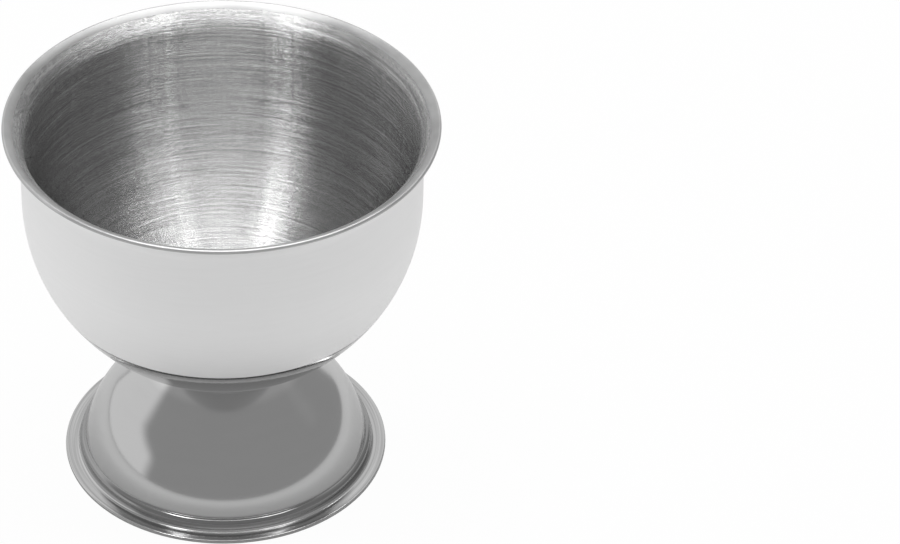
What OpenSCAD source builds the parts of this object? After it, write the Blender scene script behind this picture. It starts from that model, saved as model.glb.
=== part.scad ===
// Egg cup of sheet steel: a deep round bowl with a turned-out lip, standing on a hollow pressed foot.
// Both pressings are bodies of revolution about Z. The foot rests on the plane z = 0.

/* [Bowl] */
// Outer diameter of the bowl's straight wall
bowl_d = 46.2; // [44:0.1:48]
// Height of the bowl, from its flat base to the top of the lip
bowl_h = 32.4; // [30:0.1:38]
// Thickness of the bowl's sheet
bowl_t = 0.5; // [0.3:0.05:0.8]
// Diameter of the flat base that the foot is welded to
base_d = 10.8; // [9:0.1:12]
// Outer radius between the flat base and the round of the bowl
base_round = 3; // [1:0.1:6]
// How far the lip stands out past the bowl's wall
lip_w = 1.9; // [1:0.1:3]
// Angle that the lip turns outwards, from the upright wall
lip_turn = 70; // [50:1:80]

/* [Foot] */
// Diameter of the foot over its rim
foot_d = 38.4; // [37:0.1:40]
// Height of the foot, from the table to its flat seat
foot_h = 14.4; // [14:0.05:16]
// Thickness of the foot's sheet
foot_t = 0.5; // [0.3:0.05:0.6]
// Width of the flat rim, from its edge to the fillet of the step
rim_w = 1.3; // [1:0.05:1.5]
// Radius of the fillet between the flat rim and the step
rim_fillet = 0.3; // [0.1:0.05:0.5]
// Rise of the step above the flat rim
step_h = 1.45; // [1.2:0.05:2]
// Lean of the step's wall from upright
step_lean = 12; // [0:1:30]
// Outer radius of the bead along the top of the step
bead_round = 0.75; // [0.7:0.05:1]
// Angle at which the bead ends in the groove
bead_turn = 75; // [60:1:85]
// Radius of the groove between the bead and the dome
groove_round = 0.2; // [0.1:0.05:0.4]
// Lean of the dome's side where it leaves the groove
dome_lean = 11; // [8:1:14]
// Outer radius of the dome
dome_round = 14; // [13:0.1:14.5]
// Diameter of the flat seat under the bowl
seat_d = 15; // [14:0.1:16]
// Outer radius of the corner around the seat
seat_round = 0.8; // [0.7:0.05:1.2]

/* [Weld] */
// Diameter of one weld spot
spot_d = 3; // [2:0.1:3.5]
// Height of a weld spot, which is the gap between the foot's seat and the bowl's base
spot_h = 0.15; // [0.05:0.05:0.4]
// Radius of the circle that the weld spots stand on
spot_ring_r = 3.1; // [2.5:0.1:3.3]
// How many weld spots join the bowl and the foot
spot_count = 3; // [3:1:4]

/* [Hidden] */
$fn = 180;

// Largest angle between two points of a round stretch
arc_step = 3;

// Bowl: its base, the middle of its round and the middle of the lip's bend
base_z = foot_h + spot_h;
bowl_r = bowl_d / 2;
round_z = base_z + base_round + sqrt(pow(bowl_r - base_round, 2) - pow(base_d / 2, 2));
round_end = -atan2(round_z - base_z - base_round, base_d / 2);
lip_round = lip_w / (1 - cos(lip_turn)) - bowl_t / 2;
lip_z = base_z + bowl_h - bowl_t / 2 - (lip_round + bowl_t / 2) * sin(lip_turn);

// Foot: the middles of its bends, from the flat rim up to the seat
rim_bend = [foot_d / 2 - rim_w, foot_t + rim_fillet];
step_foot = rim_bend - rim_fillet * facing(step_lean);
bead_z = foot_t + step_h - bead_round;
bead_r = (step_foot * facing(step_lean) - bead_round - bead_z * sin(step_lean)) / cos(step_lean);
bead_bend = [bead_r, bead_z];
groove_bend = bead_bend + (bead_round + groove_round) * facing(bead_turn);
dome_foot = groove_bend - groove_round * facing(dome_lean);
dome_bend = dome_foot - dome_round * facing(dome_lean);
seat_bend = [seat_d / 2, foot_h - seat_round];

// Lean of the straight flank that touches both the dome and the corner of the seat
flank = seat_bend - dome_bend;
flank_lean = atan2(flank[1], flank[0]) - acos((dome_round - seat_round) / norm(flank));

// Unit arrow at an angle above the horizontal
function facing(a) = [cos(a), sin(a)];

// Round stretch about a middle, as points with the angle that the surface faces there.
// A negative radius makes a hollow stretch.
function bend(middle, r, from, to) =
    let (steps = max(2, ceil(abs(to - from) / arc_step)))
    [for (i = [0:steps]) let (a = from + (to - from) * i / steps) [middle + r * facing(a), a]];

// Half-round edge of a sheet, about the middle of its thickness, without the two points it joins
function rolled_edge(start, t, turn) =
    let (edge = bend(start[0] - t / 2 * facing(start[1]), t / 2, start[1] - turn, start[1]))
    [for (i = [1:len(edge) - 2]) edge[i][0]];

// Closed outline of a sheet whose outer face follows a path from its edge to the axis
function sheet(path, t, turn) = concat(
    [for (i = [len(path) - 1:-1:0]) path[i][0] - t * facing(path[i][1])],
    rolled_edge(path[0], t, turn),
    [for (p = path) p[0]]
);

// Deep-drawn bowl with a turned-out lip and a flat base
module bowl() {
    path = concat(
        bend([bowl_r + lip_round, lip_z], -lip_round, -lip_turn, 0),
        bend([0, round_z], bowl_r, 0, round_end),
        bend([base_d / 2, base_z + base_round], base_round, round_end, -90),
        [[[0, base_z], -90]]
    );
    color("silver")
        rotate_extrude()
            polygon(sheet(path, bowl_t, -180));
}

// Pressed hollow foot: flat rim, beaded step, dome, straight flank and closed seat
module foot() {
    path = concat(
        [[[foot_d / 2 - foot_t / 2, foot_t], 90]],
        bend(rim_bend, -rim_fillet, 90, step_lean),
        bend(bead_bend, bead_round, step_lean, bead_turn),
        bend(groove_bend, -groove_round, bead_turn, dome_lean),
        bend(dome_bend, dome_round, dome_lean, flank_lean),
        bend(seat_bend, seat_round, flank_lean, 90),
        [[[0, foot_h], 90]]
    );
    color("gainsboro")
        rotate_extrude()
            polygon(sheet(path, foot_t, 180));
}

// Spots of weld metal that hold the bowl's base on the foot's seat
module weld_spots() {
    color("darkgray")
        for (i = [0:spot_count - 1])
            rotate(360 / spot_count * i)
                translate([spot_ring_r, 0, foot_h])
                    cylinder(h = spot_h, d = spot_d);
}

bowl();
foot();
weld_spots();
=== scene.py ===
import math

import bpy
from mathutils import Euler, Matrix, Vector


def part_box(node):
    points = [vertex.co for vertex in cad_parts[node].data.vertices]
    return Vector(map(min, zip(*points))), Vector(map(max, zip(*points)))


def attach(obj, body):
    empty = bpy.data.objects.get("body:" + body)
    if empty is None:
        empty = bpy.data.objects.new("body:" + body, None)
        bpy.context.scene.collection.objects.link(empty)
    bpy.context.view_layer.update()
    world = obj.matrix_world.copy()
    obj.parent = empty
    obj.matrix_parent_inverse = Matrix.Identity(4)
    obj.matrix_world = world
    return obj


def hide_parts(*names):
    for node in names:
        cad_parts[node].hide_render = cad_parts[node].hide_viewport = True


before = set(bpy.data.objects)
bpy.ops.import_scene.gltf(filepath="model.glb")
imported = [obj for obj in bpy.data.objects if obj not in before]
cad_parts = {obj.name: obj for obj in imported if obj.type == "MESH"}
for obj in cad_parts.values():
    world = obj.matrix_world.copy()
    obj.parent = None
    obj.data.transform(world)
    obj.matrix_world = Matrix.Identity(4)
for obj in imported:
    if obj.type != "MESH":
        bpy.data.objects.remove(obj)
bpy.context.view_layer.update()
print("frame loaded:", sorted(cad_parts))

mm = 0.001


# Camera: where the photograph was taken from. The cup stands left of the picture's middle.
photoView = {
    "elevation": 37.04,  # degrees above the table
    "distance": 490.4 * mm,
    "aimHeight": 25 * mm,  # point on the cup's axis
    "lens": 167.5,
    "nearest": 10 * mm,
    "turnRight": 3.09,  # degrees away from the aim point
    "turnUp": 0.035,
    "roll": -0.724,
}


def addCamera(view):
    rise = math.radians(view["elevation"])
    back = Vector((0, -math.cos(rise), math.sin(rise)))
    bpy.ops.object.camera_add(location=Vector((0, 0, view["aimHeight"])) + view["distance"] * back)
    camera = bpy.context.object
    camera.name = "photoCamera"
    camera.data.lens = view["lens"]
    camera.data.clip_start = view["nearest"]
    aim = (-back).to_track_quat("-Z", "Y")
    roll = Euler((0, 0, math.radians(view["roll"])))
    turn = Euler((math.radians(view["turnUp"]), -math.radians(view["turnRight"]), 0))
    camera.rotation_mode = "QUATERNION"
    camera.rotation_quaternion = aim @ roll.to_quaternion() @ turn.to_quaternion()
    bpy.context.scene.camera = camera


addCamera(photoView)
print("camera placed")


# Shader helpers: sums on sockets add Math nodes, and every other node comes from add().
class Wire:
    def __init__(self, sheet, node, socket=0):
        self.sheet = sheet
        self.node = node
        self.socket = node.outputs[socket]

    def __getitem__(self, name):
        return Wire(self.sheet, self.node, name)

    def math(self, operation, *others):
        return self.sheet.add("Math", {"operation": operation}, dict(enumerate([self, *others])))

    def __add__(self, other):
        return self.math("ADD", other)

    def __sub__(self, other):
        return self.math("SUBTRACT", other)

    def __rsub__(self, other):
        return self.sheet.add("Math", {"operation": "SUBTRACT"}, {0: other, 1: self})

    def __mul__(self, other):
        return self.math("MULTIPLY", other)

    def __truediv__(self, other):
        return self.math("DIVIDE", other)

    __radd__ = __add__
    __rmul__ = __mul__

    def rising(self, low, high):
        limits = {"Value": self, "From Min": low, "From Max": high}
        return self.sheet.add("MapRange", {"interpolation_type": "SMOOTHSTEP"}, limits)

    def past(self, middle, blend):
        return self.rising(middle - blend, middle + blend)


class NodeSheet:
    def __init__(self, owner):
        owner.use_nodes = True
        self.tree = owner.node_tree
        self.tree.nodes.clear()

    def add(self, kind, settings=None, inputs=None):
        node = self.tree.nodes.new("ShaderNode" + kind)
        for name, value in (settings or {}).items():
            setattr(node, name, value)
        for name, value in (inputs or {}).items():
            if isinstance(value, Wire):
                self.tree.links.new(value.socket, node.inputs[name])
            else:
                node.inputs[name].default_value = value
        return Wire(self, node)

    def grey(self, value):
        return self.add("CombineColor", {}, {"Red": value, "Green": value, "Blue": value})

    def bump(self, look, height):
        depth = {"Strength": look["bump"], "Distance": look["bumpDepth"], "Height": height}
        return self.add("Bump", {}, depth)

    def steel(self, grey, roughness, normal, brushed=0.0):
        self.finish(self.add("BsdfPrincipled", {}, {
            "Base Color": self.grey(grey), "Metallic": 1.0, "Roughness": roughness,
            "Anisotropic": brushed, "Anisotropic Rotation": 0.25, "Normal": normal,
        }))

    def finish(self, shader, kind="OutputMaterial"):
        output = self.tree.nodes.new("ShaderNode" + kind)
        self.tree.links.new(shader.socket, output.inputs["Surface"])


def newMaterial(name):
    material = bpy.data.materials.new(name)
    return material, NodeSheet(material)


# Finishes. A ring pattern has so many patches for each radian around the axis, each one pitch high.
offAxis = 0.01 * mm  # keeps the radius from being zero on the axis
noiseMean = 0.5


def ringCoordinates(sheet, roundHeight, radius):
    place = sheet.add("TexCoord")["Object"]
    split = sheet.add("SeparateXYZ", {}, {0: place})
    x, y, z = split["X"], split["Y"], split["Z"]
    around = (x * x + y * y).math("SQRT") + offAxis
    along = (z - roundHeight).math("ARCTAN2", around) * radius

    def ringNoise(patches, pitch, detail, seed=0.0, height=along):
        spread = {"X": x / around * patches + seed, "Y": y / around * patches, "Z": height / pitch}
        place = sheet.add("CombineXYZ", {}, spread)
        return sheet.add("TexNoise", {}, {"Vector": place, "Scale": 1.0, "Detail": detail})

    return around, z, ringNoise


outsideFinish = {
    "satinGrey": 0.89,
    "satinRoughness": 0.52,
    "satinEnd": 10.85 * mm,  # above the bowl's base
    "satinBlend": 0.15 * mm,
    "polishGrey": 0.55,
    "polishRoughness": 0.06,
    "edgeLine": 0.2 * mm,  # painted dark line between the two, a painted reflection of a dark edge
    "edgeLineLow": 0.3,  # where the line starts to fade and where it ends, as shares of its width
    "edgeLineHigh": 1.6,
    "edgeLineDepth": 0.75,
    "grain": {"patches": 3, "pitch": 0.35 * mm, "detail": 3.0},
    "grainGrey": 0.03,
    "bump": 0.15,
    "bumpDepth": 0.004 * mm,
    "brushed": 0.4,
}


def outsideMaterial(look):
    material, sheet = newMaterial("satinSteelOutside")
    _, z, ringNoise = ringCoordinates(sheet, roundHeight, bowlShape["wallRadius"])
    grain = ringNoise(**look["grain"])
    satinEnd = bowlLow.z + look["satinEnd"]
    satin = z.past(satinEnd, look["satinBlend"])
    roughness = look["polishRoughness"] + satin * (look["satinRoughness"] - look["polishRoughness"])
    satinStep = look["satinGrey"] - look["polishGrey"] + (grain - noiseMean) * look["grainGrey"]
    grey = look["polishGrey"] + satin * satinStep
    # painted reflection: a thin dark line painted at the top of the polished band
    width = look["edgeLine"]
    offPaintedLine = (z - (satinEnd - width)).math("ABSOLUTE")
    offPaintedLine = offPaintedLine.rising(look["edgeLineLow"] * width, look["edgeLineHigh"] * width)
    grey = grey * (1 - look["edgeLineDepth"] + offPaintedLine * look["edgeLineDepth"])
    sheet.steel(grey, roughness, sheet.bump(look, grain * satin), look["brushed"])
    return material


insideFinish = {
    "grey": 0.47,
    "lowGrey": 0.64,  # the bottom is painted brighter, a painted highlight
    "lowFrom": 31 * mm,
    "lowTo": 19 * mm,
    "roughness": 0.24,
    "brushed": 1.0,
    "upward": 0.15,  # lean of the whole finish, in radians
    "scratch": {"patches": 40, "pitch": 0.004 * mm, "detail": 0.0, "seed": 3.0},
    "scratchTilt": 1.15,  # steepest lean of the finest brush marks
    "scratchSpread": 3.7,  # spreads the noise over all leans up to the steepest
    "streak": {"patches": 3, "pitch": 0.16 * mm, "detail": 2.0},
    "streakTilt": 0.5,  # lean of the broader ones
    "streakGrey": 0.45,
    "line": {"patches": 0.8, "pitch": 0.2 * mm, "detail": 1.0, "seed": 7.0},
    "lineFrom": 0.58,  # noise above this makes a deep scratch
    "lineTilt": 0.6,
    "lineGrey": 0.5,
}


def leanedNormal(sheet, around, angle):
    normal = sheet.add("NewGeometry")["Normal"]
    place = sheet.add("SeparateXYZ", {}, {0: sheet.add("TexCoord")["Object"]})
    backX = 0 - place["Y"] / around
    alongRing = sheet.add("CombineXYZ", {}, {"X": backX, "Y": place["X"] / around, "Z": 0.0})
    acrossRing = sheet.add("VectorMath", {"operation": "CROSS_PRODUCT"}, {0: alongRing, 1: normal})
    upright = sheet.add("VectorMath", {"operation": "SCALE"}, {0: normal, "Scale": angle.math("COSINE")})
    lean = sheet.add("VectorMath", {"operation": "SCALE"}, {0: acrossRing, "Scale": angle.math("SINE")})
    total = sheet.add("VectorMath", {"operation": "ADD"}, {0: upright, 1: lean})
    return sheet.add("VectorMath", {"operation": "NORMALIZE"}, {0: total})


def insideMaterial(look):
    material, sheet = newMaterial("brushedSteelInside")
    around, z, ringNoise = ringCoordinates(sheet, roundHeight, bowlShape["wallRadius"])
    scratch = ringNoise(**look["scratch"]) - noiseMean
    streakNoise = ringNoise(**look["streak"])
    lineNoise = ringNoise(**look["line"])
    angle = (scratch * look["scratchSpread"]).math("SINE") * look["scratchTilt"] + look["upward"]
    deep = (lineNoise - look["lineFrom"]).math("MAXIMUM", 0.0)
    angle = angle + (streakNoise - noiseMean) * look["streakTilt"] + deep * look["lineTilt"]
    # painted highlight: the base colour grows lighter towards the bottom
    grey = look["grey"] + (1 - z.rising(look["lowTo"], look["lowFrom"])) * (look["lowGrey"] - look["grey"])
    marks = (streakNoise - noiseMean) * look["streakGrey"] + (lineNoise - noiseMean) * look["lineGrey"]
    grey = grey * (1 + marks)
    sheet.steel(grey, look["roughness"], leanedNormal(sheet, around, angle), look["brushed"])
    return material


lipFinish = {
    "grey": 0.385,
    # painted highlight: the lip's outer edge is painted lighter
    "edgeGrey": 0.5,
    "edgeFrom": 24.7 * mm,
    "edgeTo": 24.85 * mm,
    "roughness": 0.42,
    "brushed": 0.5,
    "streak": {"patches": 6, "pitch": 0.2 * mm, "detail": 2.0},
    "streakGrey": 0.6,
    "streakRoughness": 0.1,
    "bump": 0.2,
    "bumpDepth": 0.01 * mm,
}


def lipMaterial(look):
    material, sheet = newMaterial("satinSteelLip")
    around, _, ringNoise = ringCoordinates(sheet, roundHeight, bowlShape["wallRadius"])
    streak = ringNoise(**look["streak"])
    bump = sheet.bump(look, streak)
    streak = streak - noiseMean
    edge = around.rising(look["edgeFrom"], look["edgeTo"])
    # painted highlight on the lip's outer edge
    grey = look["grey"] + edge * (look["edgeGrey"] - look["grey"])
    grey = grey * (1 + streak * look["streakGrey"])
    roughness = look["roughness"] + streak * look["streakRoughness"]
    sheet.steel(grey, roughness, bump, look["brushed"])
    return material


footFinish = {
    "grey": 0.51,
    "roughness": 0.11,
    "patternRadius": 20 * mm,
    "grooveRadius": 16.95 * mm,
    "grooveHeight": 2.0 * mm,
    "grooveFrom": 0.1 * mm,  # the painted shade in the groove ends between these distances from it
    "grooveTo": 0.5 * mm,
    "grooveDark": 0.35,
    "wallLow": 1.05 * mm,  # the step's wall, painted darker than the rest: a painted dark reflection
    "wallLowBlend": 0.15 * mm,
    "wallHigh": 1.85 * mm,
    "wallHighBlend": 0.1 * mm,
    "wallDark": 0.45,
    "flangeFrom": 17.6 * mm,  # the flat rim and its fillet, painted lighter than the rest: a painted highlight
    "flangeTo": 17.9 * mm,
    "flangeLight": 0.08,
    "shadeHeight": 12.8 * mm,  # painted reflection: the mirrored bowl, lightened
    "shadeBlend": 0.5 * mm,
    "shadeLight": 0.2,
    "rimRadius": 17.1 * mm,
    "rimBlend": 0.5 * mm,
    "marks": {"patches": 1, "pitch": 0.22 * mm, "detail": 1.0},  # turning marks on the rim
    "markGrey": 0.9,
    "wave": {"patches": 2, "pitch": 1.5 * mm, "detail": 2.0},
    "waveGrey": 0.02,
    "waveRoughness": 0.02,
    "bump": 0.1,
    "bumpDepth": 0.01 * mm,
}


def footMaterial(look):
    material, sheet = newMaterial("polishedSteel")
    around, z, ringNoise = ringCoordinates(sheet, 0.0, look["patternRadius"])
    # painted shade in the groove at the foot of the dome
    offGroove = (around - look["grooveRadius"]).math("ABSOLUTE") + (z - look["grooveHeight"]).math("ABSOLUTE")
    groove = offGroove.rising(look["grooveFrom"], look["grooveTo"])
    # painted dark reflection on the step's wall
    wall = z.past(look["wallLow"], look["wallLowBlend"])
    wall = wall * (1 - z.past(look["wallHigh"], look["wallHighBlend"]))
    # painted highlight on the flat rim and its fillet
    flange = around.rising(look["flangeFrom"], look["flangeTo"]) * (1 - wall)
    # painted reflection: the foot is lightened where it mirrors the bowl
    shade = z.past(look["shadeHeight"], look["shadeBlend"])
    # painted shade, highlights and reflection on the foot, together with its turning marks
    paintedLightAndMarks = 1 - look["grooveDark"] + look["grooveDark"] * groove
    paintedLightAndMarks = paintedLightAndMarks * (1 - wall * look["wallDark"])
    paintedLightAndMarks = paintedLightAndMarks * (1 + flange * look["flangeLight"]) * (1 + shade * look["shadeLight"])
    marks = ringNoise(**look["marks"], height=around)
    onRim = around.past(look["rimRadius"], look["rimBlend"])
    paintedLightAndMarks = paintedLightAndMarks * (1 + (marks - noiseMean) * look["markGrey"] * onRim)
    wave = ringNoise(**look["wave"])
    bump = sheet.bump(look, wave)
    grey = (look["grey"] + (wave - noiseMean) * look["waveGrey"]) * paintedLightAndMarks
    roughness = look["roughness"] + (wave - noiseMean) * look["waveRoughness"]
    sheet.steel(grey, roughness, bump)
    return material


undersideFinish = {
    "grey": 0.46,
    "roughness": 0.25,
    "patternRadius": 20 * mm,
    "grain": {"patches": 4, "pitch": 0.4 * mm, "detail": 4.0},
    "grainGrey": 0.1,
    "grainRoughness": 0.15,
    "bump": 0.3,
    "bumpDepth": 0.01 * mm,
}


def undersideMaterial(look):
    material, sheet = newMaterial("drawnSteelUnderside")
    _, _, ringNoise = ringCoordinates(sheet, 0.0, look["patternRadius"])
    grain = ringNoise(**look["grain"])
    bump = sheet.bump(look, grain)
    grey = look["grey"] + (grain - noiseMean) * look["grainGrey"]
    roughness = look["roughness"] + (grain - noiseMean) * look["grainRoughness"]
    sheet.steel(grey, roughness, bump)
    return material


weldFinish = {
    "grey": 0.42,
    "roughness": 0.45,
    "grainScale": 2500.0,  # grains in a metre
    "grainDetail": 4.0,
    "grainGrey": 0.25,
    "grainRoughness": 0.3,
    "bump": 0.4,
    "bumpDepth": 0.03 * mm,
}


def weldMaterial(look):
    material, sheet = newMaterial("weldMetal")
    place = sheet.add("TexCoord")["Object"]
    size = {"Vector": place, "Scale": look["grainScale"], "Detail": look["grainDetail"]}
    grain = sheet.add("TexNoise", {}, size)
    bump = sheet.bump(look, grain)
    grey = look["grey"] + (grain - noiseMean) * look["grainGrey"]
    roughness = look["roughness"] + (grain - noiseMean) * look["grainRoughness"]
    sheet.steel(grey, roughness, bump)
    return material


# Outlines: points (radius, height), worked out with the angle that the surface faces, as on a lathe drawing.
meshFineness = {
    "turnSteps": 256,
    "arcStep": 3.0,  # degrees
    "fewestSteps": 3,
    "longestEdge": 0.7 * mm,
    "pointGap": 0.01 * mm,  # closer points are one
    "mergeGap": 0.002 * mm,
}


def facing(angle):
    return Vector((math.cos(math.radians(angle)), math.sin(math.radians(angle))))


def bend(middle, radius, start, end, step=meshFineness["arcStep"]):
    byAngle = math.ceil(abs(end - start) / step)
    byLength = math.ceil(abs(radius * math.radians(end - start)) / meshFineness["longestEdge"])
    count = max(meshFineness["fewestSteps"], byAngle, byLength)
    angles = [start + (end - start) * i / count for i in range(count + 1)]
    return [Vector(middle) + radius * facing(angle) for angle in angles]


def straight(start, end, longest=meshFineness["longestEdge"]):
    start, end = Vector(start), Vector(end)
    count = max(1, math.ceil((end - start).length / longest))
    return [start.lerp(end, i / count) for i in range(1, count)]


def joined(*stretches):
    outline = []
    for stretch in stretches:
        for point in stretch:
            if not outline or (point - outline[-1]).length > meshFineness["pointGap"]:
                outline.append(point)
    return outline


def spinOutline(name, outline):
    bpy.ops.object.select_all(action="DESELECT")
    bpy.ops.mesh.primitive_plane_add(size=mm)
    piece = bpy.context.object
    piece.name = piece.data.name = name
    bpy.ops.object.mode_set(mode="EDIT")
    bpy.ops.mesh.merge(type="CENTER")
    here = Vector((0, 0))
    for number, point in enumerate(outline):
        move = {"value": (point.x - here.x, 0, point.y - here.y)}
        if number:
            bpy.ops.mesh.extrude_vertices_move(TRANSFORM_OT_translate=move)
        else:
            bpy.ops.transform.translate(**move)
        here = point
    bpy.ops.mesh.select_all(action="SELECT")
    bpy.ops.mesh.spin(steps=meshFineness["turnSteps"], angle=math.tau, center=(0, 0, 0), axis=(0, 0, 1))
    bpy.ops.mesh.select_all(action="SELECT")
    bpy.ops.mesh.remove_doubles(threshold=meshFineness["mergeGap"])
    bpy.ops.mesh.normals_make_consistent(inside=False)
    bpy.ops.object.mode_set(mode="OBJECT")
    return piece


# The faces at this height are on a side wall, so they tell which way the shell points.
def faceOut(piece, height):
    ring = min(piece.data.polygons, key=lambda face: abs(face.center.z - height))
    if ring.normal.xy.dot(ring.center.xy) < 0:
        bpy.ops.object.mode_set(mode="EDIT")
        bpy.ops.mesh.select_all(action="SELECT")
        bpy.ops.mesh.flip_normals()
        bpy.ops.object.mode_set(mode="OBJECT")


sheetEdge = {
    "roundShare": 0.46,  # of the sheet's thickness
    "segments": 4,
    "roundAbove": 50,  # degrees between two faces
    "smoothBelow": 40,
}
innerSlot = 1


def thicken(piece, thickness, outside, inside, edge):
    piece.data.materials.append(outside)
    piece.data.materials.append(inside)
    wall = piece.modifiers.new("wall", "SOLIDIFY")
    wall.thickness = thickness
    wall.offset = -1
    wall.use_even_offset = True
    wall.material_offset = innerSlot
    wall.material_offset_rim = innerSlot
    bpy.ops.object.modifier_apply(modifier=wall.name)
    rolled = piece.modifiers.new("rolledEdge", "BEVEL")
    rolled.limit_method = "ANGLE"
    rolled.angle_limit = math.radians(edge["roundAbove"])
    rolled.width = edge["roundShare"] * thickness
    rolled.segments = edge["segments"]
    bpy.ops.object.modifier_apply(modifier=rolled.name)
    bpy.ops.object.shade_smooth_by_angle(angle=math.radians(edge["smoothBelow"]))


# Bowl
bowlLow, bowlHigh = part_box("bowl")
bowlShape = {
    "thickness": 0.5 * mm,
    "wallRadius": 23.1 * mm,
    "baseRadius": 5.4 * mm,
    "baseRound": 3.0 * mm,
    "lipTurn": 70.0,
    "lipStart": 2.5 * mm,  # where the lip's finish starts, above the foot of its bend
}
lipSlot = 2


def bowlOutline(shape, low, high):
    wall, base, corner, sheet = (shape[k] for k in ("wallRadius", "baseRadius", "baseRound", "thickness"))
    lipTurn = math.radians(shape["lipTurn"])
    lipRound = (high.x - wall) / (1 - math.cos(lipTurn)) - sheet / 2
    lipHeight = high.z - sheet / 2 - (lipRound + sheet / 2) * math.sin(lipTurn)
    roundHeight = low.z + corner + math.sqrt((wall - corner) ** 2 - base**2)
    roundEnd = -math.degrees(math.atan2(roundHeight - low.z - corner, base))
    lip = bend((wall + lipRound, lipHeight), -lipRound, -shape["lipTurn"], 0)
    return joined(
        [lip[0] + sheet / 2 * facing(90 - shape["lipTurn"])],  # room for the rolled edge
        lip,
        straight((wall, lipHeight), (wall, roundHeight)),
        bend((0, roundHeight), wall, 0, roundEnd),
        bend((base, low.z + corner), corner, roundEnd, -90),
        straight((base, low.z), (0, low.z)),
        [Vector((0, low.z))],
    ), lipHeight, roundHeight


bowlPoints, lipHeight, roundHeight = bowlOutline(bowlShape, bowlLow, bowlHigh)
bowl = spinOutline("bowlShell", bowlPoints)
faceOut(bowl, roundHeight)
bowlOutside = outsideMaterial(outsideFinish)
bowlInside = insideMaterial(insideFinish)
thicken(bowl, bowlShape["thickness"], bowlOutside, bowlInside, sheetEdge)
bowl.data.materials.append(lipMaterial(lipFinish))
for face in bowl.data.polygons:
    if face.material_index == innerSlot and face.center.z > lipHeight + bowlShape["lipStart"]:
        face.material_index = lipSlot
print("bowl made:", len(bowl.data.polygons), "faces")

# Foot
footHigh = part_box("foot")[1]
footShape = {
    "thickness": 0.5 * mm,
    "rimWidth": 1.3 * mm,
    "rimFillet": 0.3 * mm,
    "stepHeight": 1.45 * mm,  # above the flat rim
    "stepLean": 12.0,
    "beadRound": 0.75 * mm,
    "beadTurn": 75.0,
    "grooveRound": 0.2 * mm,
    "domeLean": 11.0,
    "domeRound": 14.0 * mm,
    "domeHeight": 6 * mm,  # a place on the dome's side
    "seatRadius": 7.5 * mm,
    "seatRound": 0.8 * mm,
    "rimEdge": 0.2 * mm,  # longest mesh edges
    "flankEdge": 0.4 * mm,
    "filletStep": 8,  # degrees from one mesh edge to the next
    "beadStep": 5,
    "seatStep": 6,
}


def footOutline(shape, high):
    sheet, fillet, bead, groove = (shape[k] for k in ("thickness", "rimFillet", "beadRound", "grooveRound"))
    dome, seat = shape["domeRound"], shape["seatRound"]
    stepLean, beadTurn, domeLean = (shape[k] for k in ("stepLean", "beadTurn", "domeLean"))
    rimBend = Vector((high.x - shape["rimWidth"], sheet + fillet))
    stepFoot = rimBend - fillet * facing(stepLean)
    stepTop = sheet + shape["stepHeight"] - bead
    reach = stepFoot.dot(facing(stepLean)) - bead
    beadRadius = (reach - stepTop * math.sin(math.radians(stepLean))) / math.cos(math.radians(stepLean))
    beadBend = Vector((beadRadius, stepTop))
    grooveBend = beadBend + (bead + groove) * facing(beadTurn)
    domeBend = grooveBend - (groove + dome) * facing(domeLean)
    seatBend = Vector((shape["seatRadius"], high.z - seat))
    flank = seatBend - domeBend
    flankLean = math.degrees(math.atan2(flank.y, flank.x) - math.acos((dome - seat) / flank.length))
    across = facing(flankLean)
    return joined(
        [Vector((high.x, sheet))],
        straight((high.x, sheet), (rimBend.x, sheet), shape["rimEdge"]),
        bend(rimBend, -fillet, 90, stepLean, shape["filletStep"]),
        straight(stepFoot, beadBend + bead * facing(stepLean), shape["rimEdge"]),
        bend(beadBend, bead, stepLean, beadTurn, shape["beadStep"]),
        bend(grooveBend, -groove, beadTurn, domeLean, shape["filletStep"]),
        bend(domeBend, dome, domeLean, flankLean),
        straight(domeBend + dome * across, seatBend + seat * across, shape["flankEdge"]),
        bend(seatBend, seat, flankLean, 90, shape["seatStep"]),
        straight((seatBend.x, high.z), (0, high.z)),
        [Vector((0, high.z))],
    )


foot = spinOutline("footShell", footOutline(footShape, footHigh))
faceOut(foot, footShape["domeHeight"])
footOutside = footMaterial(footFinish)
footInside = undersideMaterial(undersideFinish)
thicken(foot, footShape["thickness"], footOutside, footInside, sheetEdge)
print("foot made:", len(foot.data.polygons), "faces")

# Weld
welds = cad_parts["weld_spots"]
welds.data.materials.clear()
welds.data.materials.append(weldMaterial(weldFinish))
print("weld finished")

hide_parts("bowl")
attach(bowl, "root")
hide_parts("foot")
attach(foot, "root")


# Studio: a white floor, a grey room with broad soft panels, and soft lamps along the ceiling
studio = {
    "floorRadius": 8.0,
    "floorCorners": 128,
    "floorPaint": 0.7,
    "shadow": 0.03,  # share of the floor's light that the cup's shadow can take
    "shadowInSteel": 0.85,
    "room": 0.42,
}

panels = {  # turn 0 is in front of the cup, and angles are in degrees
    "left": {"turn": -106, "halfWidth": 40, "rise": (-10, 37), "slant": -0.45, "soft": 12, "strength": 0.98},
    "right": {"turn": 104, "halfWidth": 10, "rise": (28, 46), "slant": 0, "soft": 16, "strength": 0.5},
    "back": {"turn": 180, "halfWidth": 38, "rise": (-10, 42), "slant": 0, "soft": 12, "strength": 0.85},
    "backTop": {"turn": 170, "halfWidth": 40, "rise": (42, 60), "slant": 0, "soft": 12, "strength": 0.87},
}

lamps = {
    "ceilingFront": {"place": (0.02, -0.07, 0.53), "turn": 0, "size": (0.46, 0.16), "strength": 2.75},
    "ceilingMiddle": {"place": (0.04, 0.075, 0.53), "turn": 0, "size": (0.34, 0.13), "strength": 2.75},
    "ceilingBack": {"place": (0.03, 0.24, 0.53), "turn": 0, "size": (0.36, 0.2), "strength": 4.4},
    "tubeLeft": {"place": (-0.16, 0.0, 0.525), "turn": -14, "size": (0.09, 0.3), "strength": 3.8},
    "tubeRight": {"place": (0.117, 0.0, 0.525), "turn": 17.9, "size": (0.022, 0.3), "strength": 2.8},
}


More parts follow.
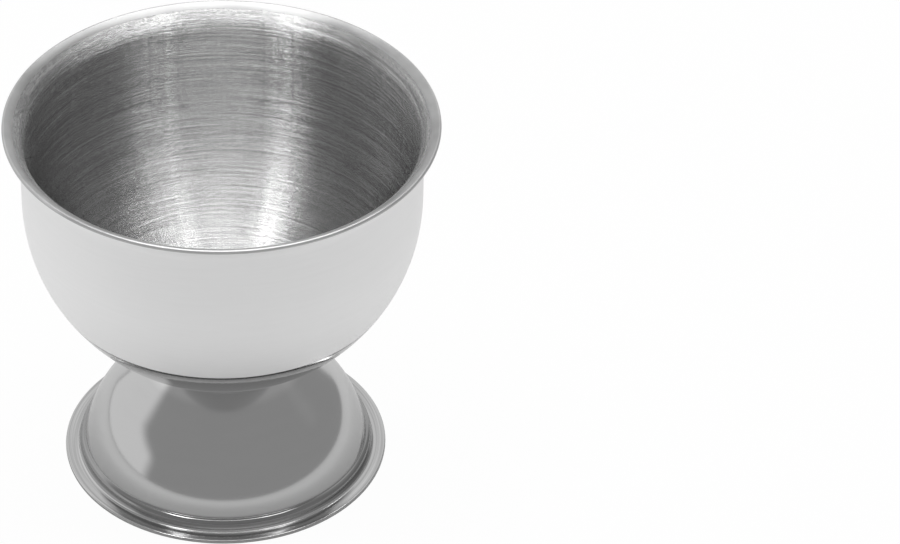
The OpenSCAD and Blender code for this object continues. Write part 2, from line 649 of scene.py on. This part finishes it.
def addFloor(look):
    bpy.ops.object.select_all(action="DESELECT")
    corners, radius = look["floorCorners"], look["floorRadius"]
    bpy.ops.mesh.primitive_circle_add(vertices=corners, radius=radius, fill_type="NGON")
    floor = bpy.context.object
    floor.name = "floor"
    material, sheet = newMaterial("paleFloor")
    path = sheet.add("LightPath")
    glossy = path["Is Glossy Ray"].math("MAXIMUM", path["Is Transmission Ray"])
    share = path["Is Camera Ray"] * (1 - look["shadow"]) + glossy * (1 - look["shadowInSteel"])
    glow = sheet.add("Emission", {}, {"Color": (1, 1, 1, 1), "Strength": 1.0})
    paint = sheet.add("BsdfDiffuse", {}, {"Color": (*[look["floorPaint"]] * 3, 1)})
    sheet.finish(sheet.add("MixShader", {}, {0: share, 1: paint, 2: glow}))
    floor.data.materials.append(material)


def addWorld(look, panels):
    world = bpy.data.worlds.new("studio")
    bpy.context.scene.world = world
    sheet = NodeSheet(world)
    direction = sheet.add("SeparateXYZ", {}, {0: sheet.add("TexCoord")["Generated"]})
    x, y = direction["X"], direction["Y"]
    inDegrees = math.degrees(1)
    rise = direction["Z"].math("ARCSINE") * inDegrees
    level = look["room"]
    for panel in panels.values():
        turn = math.radians(panel["turn"])
        side = x * math.cos(turn) + y * math.sin(turn)
        front = x * math.sin(turn) - y * math.cos(turn)
        swing = side.math("ARCTAN2", front) * inDegrees
        low, high = panel["rise"]
        soft = panel["soft"] / 2
        slanted = rise - swing * panel["slant"]
        mask = rise.past(low, soft) * (1 - slanted.past(high, soft))
        mask = mask * (1 - swing.math("ABSOLUTE").past(panel["halfWidth"], soft))
        level = level + mask * (panel["strength"] - level)
    sheet.finish(sheet.add("Background", {}, {"Color": sheet.grey(level), "Strength": 1.0}), "OutputWorld")


def addLamp(name, lamp):
    turn = (0, 0, math.radians(lamp["turn"]))
    bpy.ops.object.light_add(type="AREA", location=lamp["place"], rotation=turn)
    light = bpy.context.object
    light.name = name
    light.data.shape = "RECTANGLE"
    width, depth = lamp["size"]
    light.data.size = width
    light.data.size_y = depth
    light.data.energy = lamp["strength"] * math.pi * width * depth  # as bright at any size


addFloor(studio)
addWorld(studio, panels)
for name, lamp in lamps.items():
    addLamp(name, lamp)
bpy.context.scene.view_settings.view_transform = "Standard"
print("studio lit")
